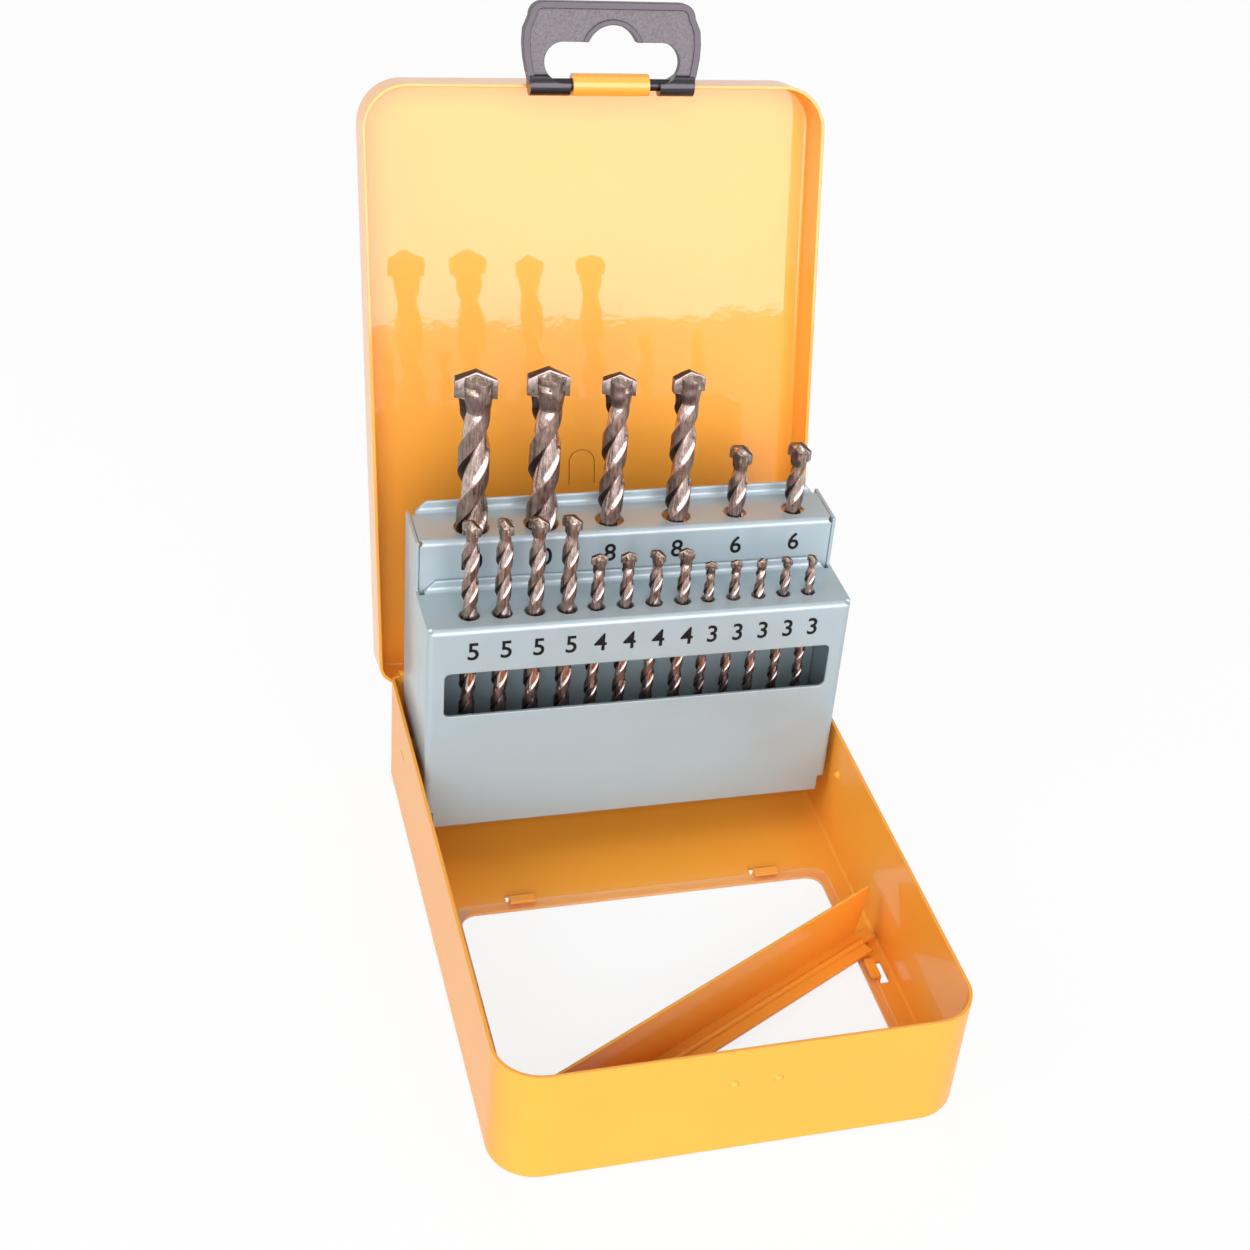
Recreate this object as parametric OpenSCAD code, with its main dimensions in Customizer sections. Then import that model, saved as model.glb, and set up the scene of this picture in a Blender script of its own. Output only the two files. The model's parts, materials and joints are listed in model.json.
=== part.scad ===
// Drill bit case: a pressed tray with a window, a hinged lid with a hanging loop, and a folding holder for 19 bits.
// Millimetres, +Z up. The origin is the middle of the tray's underside; the hinge is at the back, +Y.
// The lid stands open and the holder is raised. The bits are named by their diameter.

/* [Tray] */
// Width of the tray over its side walls
tray_w = 110; // [106:1:124]
// Length of the tray over its front and rear walls
tray_l = 145; // [138:1:160]
// Height of the tray's rim
tray_h = 32; // [30:0.5:36]
// Thickness of the painted sheet of tray, lid and stop bar
sheet_t = 0.8; // [0.6:0.1:1]
// Radius of the tray's two front corners
front_corner_r = 11; // [8:1:14]
// Radius of the tray's two corners beside the hinge
rear_corner_r = 2.2; // [2:0.1:3]
// Radius of the bend between floor and walls
floor_bend_r = 1.6; // [1.2:0.1:1.8]

/* [Window and its pane] */
// Width of the window in the tray's floor
window_w = 94; // [80:1:96]
// From the tray's rear face to the window's rear edge
window_setback = 59.4; // [56:0.2:64]
// From the tray's front face to the window's front edge
window_front_margin = 9; // [8:0.5:14]
// Radius of the window's corners
window_corner_r = 4; // [2:0.5:6]
// How far the pane laps the floor round the window
pane_lap = 2; // [1.5:0.1:2.2]
// Thickness of the clear pane
pane_t = 1; // [0.8:0.1:1.2]
// Width of each tab that holds the pane
tab_w = 6.5; // [5:0.5:8]
// Length of the slot that a tab is lifted from
tab_slot = 2.4; // [2:0.1:2.6]

/* [Stop bar] */
// Angle of the diagonal bar to the tray's front wall
bar_angle = 28.2; // [26:0.2:30]
// From the tray's front face to the bar, on the tray's middle line
bar_setback = 35.1; // [34:0.2:38]
// Height of the bar's top edge
bar_top = 17.5; // [14:0.5:18]
// Width of the bar's foot
bar_foot_w = 7.5; // [6:0.5:8]

/* [Lid] */
// Width of the lid over its flanges
lid_w = 114.4; // [112.4:0.2:128]
// Depth of the lid's flange
lid_depth = 12; // [10:0.5:14]
// Gap between the tray's front wall and the lid's front flange when shut
lid_front_gap = 1.7; // [1.4:0.1:2.2]
// Radius of the lid's two corners at the hanging loop
lid_front_corner_r = 11; // [8:1:14]
// Radius of the lid's two corners beside the hinge
lid_rear_corner_r = 5; // [3:0.5:7]
// How far the open lid leans back from upright
lid_lean = 13.5; // [8:0.5:20]
// Width of the tongue cut in the lid's panel
tongue_w = 7; // [5:0.5:9]
// Length of that tongue
tongue_l = 9.4; // [7:0.2:12]
// From the hinge end of the lid to the root of that tongue
tongue_from_hinge = 48; // [40:1:60]

/* [Hinge] */
// Outer radius of the rolled hinge knuckles
knuckle_r = 2.2; // [2:0.1:2.4]
// Number of knuckles, an odd number
knuckle_count = 7; // [5:2:9]
// Radius of the hinge pin
hinge_pin_r = 1.25; // [1:0.05:1.3]
// Running clearance of a pin in its bore
pin_clearance = 0.05; // [0.02:0.01:0.08]
// Gap between neighbouring knuckles
knuckle_gap = 0.3; // [0.2:0.05:0.5]

/* [Hanging loop] */
// Sideways place of the loop and the two latch bumps
latch_x = 1.2; // [0:0.2:4]
// Width of the loop at its barrels
loop_foot_w = 40; // [36:1:44]
// Width of the loop at its widest
loop_w = 43; // [41:0.5:46]
// Height of the loop above its pivot
loop_h = 18.8; // [18.4:0.2:22]
// Thickness of the loop's web
loop_web_t = 2.2; // [1.8:0.1:2.4]
// Thickness of the loop's raised border
loop_border_t = 3; // [2.8:0.1:3.2]
// Width of that border
loop_border_w = 1.6; // [1.2:0.1:2]
// Radius of the barrels and of the rolled knuckle between them
barrel_r = 2.6; // [2.4:0.1:2.7]
// Width of the rolled knuckle on the lid
latch_knuckle_w = 18.6; // [16:0.2:19]
// Radius of the loop's pin
latch_pin_r = 1.4; // [1.2:0.05:1.5]
// Width of the hanging slot
slot_w = 33; // [31:0.5:34]
// Radius of the round hook seat above the slot
seat_r = 6.4; // [5:0.1:6.6]

/* [Holder] */
// Width of the holder over its side flanges
holder_w = 105.5; // [100:0.5:106]
// From the tray's rear face to the holder's numbered face
face_setback = 39.8; // [39:0.2:42]
// Height of the face's lower edge above the tray's underside
face_bottom = 13.2; // [12.8:0.2:14]
// Height of the numbered face
face_h = 58.8; // [54:0.2:64]
// Depth of the lower deck
lower_deck = 18.2; // [16:0.2:19]
// Height of the riser between the decks
riser_h = 13.3; // [11:0.1:15]
// Depth of the upper deck
upper_deck = 15; // [13:0.2:15.4]
// How far the raised holder leans back from upright
holder_lean = 1; // [0:0.5:2]
// Thickness of the holder's sheet
holder_t = 0.8; // [0.6:0.1:1]
// Outer radius of the holder's bends
holder_bend_r = 1.4; // [1.2:0.1:2]
// Height of the turned-up lips behind each deck
lip_h = 2.8; // [2.4:0.1:3.4]
// Width of the window in the face
face_window_w = 97.2; // [80:0.2:98]
// Lower edge of that window above the face's lower edge
face_window_low = 33.8; // [30:0.2:36]
// Height of that window
face_window_h = 12.6; // [8:0.2:14]
// From the holder's face back to its pivot
pivot_depth = 20.3; // [20:0.1:21]
// Height of the pivot above the face's lower edge
pivot_rise = 10.6; // [10.2:0.1:11]
// Radius of the pivot nibs on the tray's walls
pivot_r = 2; // [1.6:0.1:2.4]

/* [Bits] */
// Depth of the front row's middle line behind the face
front_row = 6.2; // [5:0.2:8]
// Depth of the back row's middle line behind the face
back_row = 24.2; // [23.6:0.2:26]
// Middle of the first bit in the front row from the tray's middle
front_start = -41.9; // [-43:0.1:-40]
// Middle of the first bit in the back row from the tray's middle
back_start = -38.4; // [-40:0.1:-36]
// Height of the shelf under the front row above the face's lower edge
front_shelf = 7.4; // [6.6:0.2:9]
// Height of the shelf under the back row above the face's lower edge
back_shelf = 10.8; // [10:0.2:13]
// Height of the guide plate above the face's lower edge
guide_rise = 15; // [14:0.5:20]
// Height of the front row's flute ends above the face's lower edge
flute_end = 36; // [34:0.5:44]
// Clearance round a bit in its deck and guide holes
bit_clearance = 0.5; // [0.3:0.05:0.7]
// Length of the 3 mm bits
len_3 = 62; // [56:0.2:64]
// Length of the 4 mm bits
len_4 = 66.2; // [61:0.2:69]
// Length of the 5 mm bits
len_5 = 77.4; // [70:0.2:80]
// Length of the 6 mm bits
len_6 = 80; // [76:0.2:84]
// Length of the 8 mm bits
len_8 = 101; // [96:0.2:106]
// Length of the 10 mm bits
len_10 = 103; // [98:0.2:108]

/* [Hidden] */
$fn = 64;
eps = 0.01;
cut = 1; // how far a cutter passes the surface it opens

paint = "#f2b040";
steel_grey = "#b4bfc4";
drill_bronze = "#7d6a5c";
carbide = "#a39a90";

// Tray and pane
front_y = -tray_l / 2;
rear_y = tray_l / 2;
window_rear_y = rear_y - window_setback;
window_front_y = front_y + window_front_margin;
window_l = window_rear_y - window_front_y;
window_mid_y = (window_rear_y + window_front_y) / 2;
pane_w = window_w + 2 * pane_lap;
pane_l = window_l + 2 * pane_lap;
tab_gap = 0.2; // pane to tab, at its edge and above it
tab_arm = 1.4; // how far a tab reaches over the pane
tab_slot_slack = 0.5; // slot beyond the tab at each end
rear_tab_x = 32;
tab_shift = 1; // both rear tabs sit this much to the right
side_tab_y = window_mid_y + 0.6;

// Stop bar, in its own frame: x along the bar, y to its back, z up
bar_mid_y = front_y + bar_setback;
bar_foot_z = sheet_t + pane_t + 0.2;
bar_left = -tray_w / 2 - 1;
bar_right_low = 53.8;
bar_right_top = 56.6;
bar_bead_r = 0.9;
bar_pad = [2.4, 3.4]; // welded pads at the bar's two ends
bar_pad_reach = 2.2; // from the web's right end to its pad

// Hinge and lid
hinge_y = rear_y - sheet_t + knuckle_r;
hinge_z = tray_h - knuckle_r;
hinge_half = tray_w / 2 - rear_corner_r - 0.2;
knuckle_pitch = 2 * hinge_half / knuckle_count;
hinge_bore_r = hinge_pin_r + pin_clearance;
lid_l = hinge_y + knuckle_r + tray_l / 2 + lid_front_gap + sheet_t;
lid_z = -lid_depth - knuckle_r; // the lid's outer face in the hinge frame
lid_mid = lid_l / 2 - knuckle_r;
leaf_clear = 0.3;
tongue_slit = 0.25;
tongue_x = -1.4;

// Loop, in the hinge frame: y up the open lid, z out of it
loop_y = lid_l - knuckle_r + sheet_t / 2;
loop_z = barrel_r + leaf_clear - knuckle_r;
latch_bore_r = latch_pin_r + pin_clearance;
loop_x = latch_x + 0.4; // the loop rests against the right of its side play
barrel_in = [latch_x - loop_x - latch_knuckle_w / 2 - 0.6, latch_x - loop_x + latch_knuckle_w / 2 + 2.6];
barrel_end_t = 1.4; // closed outer end of each barrel
slot_r = 4.6;
slot_top = 9.8;
loop_corner_r = 3.4;
seat_drop = 2.5; // the seat's centre below the slot's top
ring_w = 1.2;
loop_bore_l = loop_foot_w - 2 * barrel_end_t;
bump_x = 2;
bump_r = 1.3;
bump_z = tray_h - 10.2;
bump_half = 5.1;

// Holder, in its own frame: x across, y back from the face, z up from the face's lower edge
face_y = rear_y - face_setback;
step_z = face_h + riser_h;
holder_d = lower_deck + upper_deck;
notch_w = 2.1;
notch_h = 4.4;
inner_w = holder_w - 2 * holder_t;
plate_gap = 0.15;
riser_y = lower_deck + 0.1;
riser_low = guide_rise + 2;
lip_bend = 1.2;
lip_inset = 2.4;
rear_inset = 2; // shelf and guide end this far inside the holder's back
shelf_skirt = 4.6;
guide_leg_h = guide_rise - back_shelf - plate_gap; // the legs end just above the rear shelf
guide_leg_l = 21;
relief_r = 0.8;
face_window_r = 1.5;
link_slot = [pivot_depth + 5.2, pivot_depth + 10.2];
link_slot_r = 1.3;
link_rise = 1.6;
wall_gap = (tray_w - holder_w) / 2 - sheet_t;
pivot_y = face_y + pivot_depth;
pivot_z = face_bottom + pivot_rise;
nib_l = sheet_t / 2 + wall_gap + holder_t; // from inside the wall to the holder's inner face
nib_clearance = 0.08;
slit = [4.6, 0.6]; // lanced slit below each nib
slit_drop = 0.7; // from the nib's underside to the slit's middle
stop_lead = 5; // how far in front of the face the stop dimples are

// The set: the two rows, left to right
back_sizes = [10, 10, 8, 8, 6, 6];
front_sizes = [5, 5, 5, 5, 4, 4, 4, 4, 3, 3, 3, 3, 3];
sizes = concat(back_sizes, front_sizes);
back_count = len(back_sizes);
stand_gap = 0.05; // under each shank
flute_pitch = 4.3; // one turn of the flutes, in body diameters
flute_core = 0.5; // deepest point of a flute, as a share of the radius
land_relief = 0.03; // the lands lie this much inside the shank's radius
land_end = 60; // angles round half a section: where a land ends and where its steep wall ends
wall_end = 75;
// A head, in bit diameters: its carbide plate's height and thickness, the plate's roof, and the body round it
plate_rise = 0.7;
plate_t = 0.28;
roof_rise = 0.25;
head_rise = 0.45;
head_top = 0.12; // how far that body reaches above the plate's foot
// How far each bit is turned in its hole, so that the heads don't all face one way
turned = [-8, -5, -12, 5, -78, -76, 38, 37, 22, 20, -15, -31, -66, -42, -18, 21, -30, -66, -72];

// Distance from the bit before to one of this size
function pitch_of(d) = d == 3 ? 6.5 : d == 4 ? 7.2 : d == 5 ? 7.9 : d == 6 ? 15.2 : 17;
function length_of(d) = d == 3 ? len_3 : d == 4 ? len_4 : d == 5 ? len_5 : d == 6 ? len_6 : d == 8 ? len_8 : len_10;
function body_d(d) = 0.7 * d + 0.5; // a masonry bit's body is slimmer than its tip
function in_back(i) = i < back_count;
function bit_x(i) = i == 0 ? back_start : i == back_count ? front_start : bit_x(i - 1) + pitch_of(sizes[i]);
function bit_y(i) = in_back(i) ? back_row : front_row;
function shelf_of(i) = in_back(i) ? back_shelf : front_shelf;

// Points on an arc about c
function arc(c, r, from, to, n) = [for (i = [0:n]) c + r * [cos(from + (to - from) * i / n), sin(from + (to - from) * i / n)]];

// A rectangle whose front (-Y) and back corners have their own radii
module plate_outline(w, l, rf, rb) {
    difference() {
        square([w, l], center = true);
        for (s = [-1, 1]) {
            translate([s * w / 2, -l / 2]) square(2 * rf, center = true);
            translate([s * w / 2, l / 2]) square(2 * rb, center = true);
        }
    }
    for (s = [-1, 1]) {
        translate([s * (w / 2 - rf), rf - l / 2]) circle(rf);
        translate([s * (w / 2 - rb), l / 2 - rb]) circle(rb);
    }
}

// Section through floor, bend and wall; the wall's outer face is at x = reach
module pan_section(reach, h, re) {
    square([reach - re, sheet_t]);
    translate([reach - sheet_t, re]) square([sheet_t, h - re]);
    translate([reach - re, re]) intersection() {
        difference() {
            circle(re);
            circle(re - sheet_t);
        }
        translate([0, -re]) square(re);
    }
}

// A straight wall with its strip of floor, running along X with its outer face towards -Y
module pan_wall(run, reach, h, re) {
    rotate([90, 0, 90]) translate([0, 0, -run / 2]) linear_extrude(run) mirror([1, 0]) pan_section(reach, h, re);
}

// A pressed open box with its floor at z = 0
module pan(w, l, h, rf, rb, re) {
    side_run = l - rf - rb;
    side_mid = (rf - rb) / 2;
    translate([0, side_mid, sheet_t / 2]) cube([w - 2 * rf, side_run, sheet_t], center = true);
    translate([0, rf - l / 2, 0]) pan_wall(w - 2 * rf, rf, h, re);
    rotate([0, 0, 180]) translate([0, rb - l / 2, 0]) pan_wall(w - 2 * rb, rb, h, re);
    for (s = [-1, 1]) {
        rotate([0, 0, s * 90]) translate([s * side_mid, rf - w / 2, 0]) pan_wall(side_run, rf, h, re);
        translate([s * (w / 2 - rf), rf - l / 2, 0]) rotate([0, 0, s < 0 ? 180 : 270])
            rotate_extrude(angle = 90) pan_section(rf, h, re);
        translate([s * (w / 2 - rb), l / 2 - rb, 0]) rotate([0, 0, s < 0 ? 90 : 0])
            rotate_extrude(angle = 90) pan_section(rb, h, re);
    }
}

// Runs its children at every other knuckle of the hinge; first is 0 for the tray's and 1 for the lid's
module at_knuckles(first) {
    for (i = [first:2:knuckle_count - 1]) translate([(i + 0.5) * knuckle_pitch - hinge_half, 0, 0]) children();
}

module across(r, l) {
    rotate([0, 90, 0]) cylinder(r = r, h = l, center = true);
}

// A strap tab lifted from the floor, its slot behind it; the pane's edge is at y = 0 and the pane towards -Y
module pane_tab() {
    translate([-tab_w / 2, tab_gap, sheet_t - eps]) cube([tab_w, sheet_t, pane_t + tab_gap + sheet_t + eps]);
    translate([-tab_w / 2, -tab_arm, sheet_t + pane_t + tab_gap]) cube([tab_w, tab_arm + tab_gap + eps, sheet_t]);
}

module tab_slot_cut() {
    translate([-tab_w / 2 - tab_slot_slack, tab_gap + sheet_t, -cut])
        cube([tab_w + 2 * tab_slot_slack, tab_slot, sheet_t + 2 * cut]);
}

module at_tabs() {
    for (s = [-1, 1]) {
        translate([s * rear_tab_x + tab_shift, window_mid_y + pane_l / 2, 0]) children();
        translate([s * pane_w / 2, side_tab_y, 0]) rotate([0, 0, -s * 90]) children();
    }
}

// A round dimple standing on z = 0
module dome(r) {
    rotate_extrude() intersection() {
        circle(r);
        square(r);
    }
}

module tray_shell() {
    color(paint) difference() {
        union() {
            difference() {
                pan(tray_w, tray_l, tray_h, front_corner_r, rear_corner_r, floor_bend_r);
                // the rear wall ends at the hinge axis, where it rolls into the knuckles
                translate([-hinge_half, rear_y - sheet_t - cut, hinge_z]) cube([2 * hinge_half, sheet_t + 2 * cut, knuckle_r + cut]);
                at_knuckles(1) translate([0, rear_y, hinge_z + knuckle_r])
                    cube([knuckle_pitch, 2 * sheet_t + 2 * cut, 2 * (2 * knuckle_r + leaf_clear)], center = true);
                translate([0, window_mid_y, -cut]) linear_extrude(sheet_t + 2 * cut)
                    plate_outline(window_w, window_l, window_corner_r, window_corner_r);
                at_tabs() tab_slot_cut();
                for (s = [-1, 1]) translate([s * tray_w / 2, pivot_y, pivot_z - pivot_r - slit_drop])
                    cube([4 * sheet_t, slit[0], slit[1]], center = true);
            }
            translate([0, hinge_y, hinge_z]) at_knuckles(0) across(knuckle_r, knuckle_pitch - knuckle_gap);
            at_tabs() pane_tab();
            for (s = [-1, 1]) {
                // nibs that the holder turns on, and the dimples in front of it
                translate([s * (tray_w / 2 - sheet_t / 2 - nib_l / 2), pivot_y, pivot_z]) across(pivot_r, nib_l);
                translate([s * (tray_w - sheet_t) / 2, face_y - stop_lead, bump_z]) rotate([0, -s * 90, 0]) dome(bump_r);
                translate([bump_x + s * bump_half, front_y + sheet_t / 2, bump_z]) rotate([90, 0, 0]) dome(bump_r);
            }
        }
        translate([0, hinge_y, hinge_z]) across(hinge_bore_r, 2 * hinge_half + 2 * cut);
    }
}

module window_pane() {
    color([0.85, 0.9, 0.92, 0.4]) translate([0, window_mid_y, sheet_t])
        linear_extrude(pane_t) plate_outline(pane_w, pane_l, window_corner_r, window_corner_r);
}

module stop_bar() {
    web_h = bar_top - bar_foot_z;
    pad_h = bar_foot_z - sheet_t;
    foot_l = bar_right_low - bar_left;
    color(paint) translate([0, bar_mid_y, bar_foot_z]) rotate([0, 0, bar_angle]) {
        rotate([90, 0, 0]) linear_extrude(sheet_t)
            polygon([[bar_left, 0], [bar_right_low, 0], [bar_right_top, web_h], [bar_left, web_h]]);
        translate([bar_left, -bar_foot_w, 0]) cube([foot_l, bar_foot_w, sheet_t]);
        translate([bar_left, -bar_foot_w / 2, sheet_t]) rotate([0, 90, 0]) difference() {
            cylinder(r = bar_bead_r, h = foot_l);
            translate([eps, -2 * bar_bead_r, -cut]) cube([2 * bar_bead_r, 4 * bar_bead_r, foot_l + 2 * cut]);
        }
        // welded ends, down on the floor beside the pane
        translate([bar_right_low - eps, -sheet_t - bar_pad[1], 0]) cube([bar_pad_reach + bar_pad[0] + eps, bar_pad[1], sheet_t]);
        translate([bar_right_low + bar_pad_reach, -sheet_t - bar_pad[1], -pad_h]) cube([bar_pad[0], bar_pad[1], pad_h + eps]);
        translate([bar_left, -bar_foot_w, -pad_h]) cube([bar_pad[1], bar_pad[0], pad_h + eps]);
    }
}

module hinge_pin() {
    color("silver") translate([0, hinge_y, hinge_z]) across(hinge_pin_r, 2 * hinge_half - knuckle_gap);
}

// Places its children in the hinge frame of the open lid
module on_lid() {
    translate([0, hinge_y, hinge_z]) rotate([90 - lid_lean, 0, 0]) children();
}

// The slit round three sides of the lid's tongue
module tongue_cut() {
    r = tongue_w / 2;
    difference() {
        union() {
            circle(r);
            translate([-r, r - tongue_l]) square([2 * r, tongue_l - r]);
        }
        circle(r - tongue_slit);
        translate([tongue_slit - r, r - tongue_l - cut]) square([2 * (r - tongue_slit), tongue_l - r + cut]);
    }
}

module lid_shell() {
    color(paint) on_lid() difference() {
        union() {
            difference() {
                translate([0, lid_mid, lid_z]) rotate([0, 0, 180])
                    pan(lid_w, lid_l, lid_depth, lid_front_corner_r, lid_rear_corner_r, floor_bend_r);
                at_knuckles(0) translate([0, -knuckle_r, -knuckle_r]) cube([knuckle_pitch, 4 * sheet_t, 2 * leaf_clear], center = true);
                translate([tongue_x, tongue_from_hinge + tongue_l - tongue_w / 2 - knuckle_r, lid_z - cut])
                    linear_extrude(sheet_t + 2 * cut) tongue_cut();
            }
            at_knuckles(1) {
                across(knuckle_r, knuckle_pitch - knuckle_gap);
                translate([knuckle_gap / 2 - knuckle_pitch / 2, -knuckle_r, -knuckle_r - eps])
                    cube([knuckle_pitch - knuckle_gap, sheet_t, knuckle_r + eps]);
            }
            translate([latch_x, loop_y, loop_z]) across(barrel_r, latch_knuckle_w);
            translate([latch_x - latch_knuckle_w / 2, lid_l - knuckle_r - sheet_t, -knuckle_r - eps])
                cube([latch_knuckle_w, sheet_t, loop_z + knuckle_r - latch_bore_r]);
        }
        across(hinge_bore_r, 2 * hinge_half + 2);
        translate([latch_x, loop_y, loop_z]) across(latch_bore_r, latch_knuckle_w + 2 * cut);
    }
}

module latch_pin() {
    color("#303234") on_lid() translate([loop_x, loop_y, loop_z]) across(latch_pin_r, loop_bore_l - 2 * knuckle_gap);
}

// Outline of the loop, shrunk by d; y is up from the pivot. Its sides swell to loop_w at mid height
function loop_outline(d) = let (r = loop_corner_r - d, foot = loop_foot_w / 2 - d, swell = (loop_w - loop_foot_w) / 2,
        side = [for (y = [0:loop_h / 6:loop_h - loop_corner_r]) [foot + swell * sin(180 * y / loop_h), y]],
        top = concat(side, arc([foot - r, loop_h - d - r], r, 0, 90, 8)), n = len(top))
    concat(top, [for (i = [n - 1:-1:0]) [-top[i][0], top[i][1]]]);

module hanging_loop() {
    color("#26282b") on_lid() translate([loop_x, loop_y, loop_z]) difference() {
        union() {
            linear_extrude(loop_web_t, center = true) polygon(loop_outline(0));
            linear_extrude(loop_border_t, center = true) difference() {
                polygon(loop_outline(0));
                polygon(loop_outline(loop_border_w));
            }
            // raised ring round the hook seat
            intersection() {
                translate([0, slot_top - seat_drop, 0]) cylinder(r = seat_r + ring_w, h = loop_border_t, center = true);
                translate([0, slot_top + seat_r, 0]) cube([4 * seat_r, 2 * seat_r, loop_border_t], center = true);
            }
            for (b = barrel_in) let (end = sign(b) * loop_foot_w / 2)
                translate([(b + end) / 2, 0, 0]) across(barrel_r, abs(end - b));
        }
        translate([0, slot_top - seat_drop, 0]) cylinder(r = seat_r, h = 2 * barrel_r + cut, center = true);
        linear_extrude(2 * barrel_r + cut, center = true) {
            for (s = [-1, 1]) translate([s * (slot_w / 2 - slot_r), slot_top - slot_r]) circle(slot_r);
            translate([slot_r - slot_w / 2, slot_top - 2 * slot_r]) square([slot_w - 2 * slot_r, 2 * slot_r]);
        }
        translate([barrel_in[0], -barrel_r - cut, -barrel_r - cut])
            cube([barrel_in[1] - barrel_in[0], slot_top + barrel_r, 2 * (barrel_r + cut)]);
        across(latch_bore_r, loop_bore_l);
    }
}

// Places its children in the holder's frame
module on_holder() {
    translate([0, pivot_y, pivot_z]) rotate([-holder_lean, 0, 0])
        translate([0, -pivot_depth, -pivot_rise]) children();
}

// What a bend of radius r takes off a square corner at the origin whose solid is towards +X and +Y
module corner_cut(r) {
    difference() {
        square(2 * r, center = true);
        translate([r, r]) circle(r);
    }
}

// The stepped block under the two decks, shrunk by d; over is how far it runs out below and behind
module stepped_block(d, over) {
    r = holder_bend_r - d;
    intersection() {
        translate([0, 0, -cut]) linear_extrude(step_z + 2 * cut) difference() {
            translate([d - holder_w / 2, d]) square([holder_w - 2 * d, holder_d + over - d]);
            for (s = [-1, 1]) translate([s * (holder_w / 2 - d), d]) mirror([s > 0 ? 1 : 0, 0]) corner_cut(r);
        }
        rotate([90, 0, 90]) translate([0, 0, -holder_w]) linear_extrude(2 * holder_w) {
            difference() {
                translate([d, -over]) square([lower_deck, face_h - d + over]);
                translate([d, face_h - d]) mirror([0, 1]) corner_cut(r);
            }
            translate([lower_deck - over / 2, -over]) square([upper_deck + 2 * over, step_z + 2 * over]);
        }
    }
}

// Deck holes of one row, as cylinders through z
module row_holes(first, last) {
    for (i = [first:last]) translate([bit_x(i), bit_y(i), 0]) cylinder(r = body_d(sizes[i]) / 2 + bit_clearance, h = 4 * cut, center = true);
}

// A lip's section: it turns up from a deck whose top is at z = 0; its back face is at y = 0
module lip_section() {
    translate([-holder_t, lip_bend]) square([holder_t, lip_h - lip_bend - holder_t / 2]);
    translate([-holder_t / 2, lip_h - holder_t / 2]) circle(holder_t / 2);
    translate([-holder_t - lip_bend, lip_bend]) intersection() {
        difference() {
            circle(lip_bend + holder_t);
            circle(lip_bend);
        }
        translate([0, -lip_bend - holder_t]) square(lip_bend + holder_t);
    }
}

// A lip across the holder, its ends cut off at a slant
module lip(w) {
    intersection() {
        rotate([90, 0, 90]) translate([0, 0, -w / 2]) linear_extrude(w) lip_section();
        rotate([90, 0, 0]) linear_extrude(8 * cut, center = true)
            polygon([[-w / 2, -holder_t - cut], [w / 2, -holder_t - cut], [w / 2, 0], [w / 2 - lip_h, lip_h],
                [lip_h - w / 2, lip_h], [-w / 2, 0]]);
    }
}

module holder_front_plate() {
    color(steel_grey) on_holder() {
        difference() {
            stepped_block(0, 0);
            stepped_block(holder_t, cut);
            // the deck ends where its lip bends up
            translate([-inner_w / 2, lower_deck - holder_t - lip_bend, face_h - holder_t - cut]) cube([inner_w, holder_d, riser_h + 4 * cut]);
            for (s = [-1, 1]) {
                translate([s * holder_w / 2, holder_d / 2, 0]) cube([2 * notch_w, holder_d + 2 * cut, 2 * notch_h], center = true);
                translate([s * (holder_w / 2 - holder_bend_r / 2), holder_bend_r / 2, face_h]) sphere(relief_r);
                translate([s * holder_w / 2, pivot_depth, pivot_rise]) across(pivot_r + nib_clearance, 4 * holder_t);
                // link slot behind the pivot
                for (y = link_slot) translate([s * holder_w / 2, y, pivot_rise + link_rise]) across(link_slot_r, 4 * holder_t);
                translate([s * holder_w / 2, (link_slot[0] + link_slot[1]) / 2, pivot_rise + link_rise])
                    cube([4 * holder_t, link_slot[1] - link_slot[0], 2 * link_slot_r], center = true);
            }
            rotate([90, 0, 0]) translate([0, face_window_low + face_window_h / 2, -holder_t - cut]) linear_extrude(holder_t + 2 * cut)
                plate_outline(face_window_w, face_window_h, face_window_r, face_window_r);
            translate([0, 0, face_h]) row_holes(back_count, len(sizes) - 1);
        }
        translate([0, lower_deck, face_h]) lip(inner_w - lip_inset);
    }
}

module holder_rear_plate() {
    w = inner_w - 2 * plate_gap;
    r = holder_bend_r;
    color(steel_grey) on_holder() difference() {
        union() {
            translate([-w / 2, riser_y, riser_low]) cube([w, holder_t, step_z - riser_low - r]);
            translate([0, riser_y + r, step_z - r]) rotate([90, 0, 90]) translate([0, 0, -w / 2]) linear_extrude(w) intersection() {
                difference() {
                    circle(r);
                    circle(r - holder_t);
                }
                translate([-r, 0]) square(r);
            }
            translate([-w / 2, riser_y + r, step_z - holder_t]) cube([w, holder_d - riser_y - r - holder_t - lip_bend, holder_t]);
            translate([0, holder_d, step_z]) lip(w - lip_inset);
        }
        translate([0, 0, step_z]) row_holes(0, back_count - 1);
        for (s = [-1, 1]) translate([s * w / 2, riser_y + r / 2, step_z - r / 2]) sphere(relief_r);
    }
}

module shank_guide() {
    w = inner_w - 2 * plate_gap;
    color(steel_grey) on_holder() difference() {
        union() {
            translate([-w / 2, holder_t + plate_gap, guide_rise]) cube([w, holder_d - holder_t - rear_inset, holder_t]);
            for (s = [-1, 1]) translate([s * (w - holder_t) / 2, holder_d / 2, guide_rise - guide_leg_h / 2 + eps])
                cube([holder_t, guide_leg_l, guide_leg_h], center = true);
        }
        translate([0, 0, guide_rise]) row_holes(0, len(sizes) - 1);
    }
}

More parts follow.
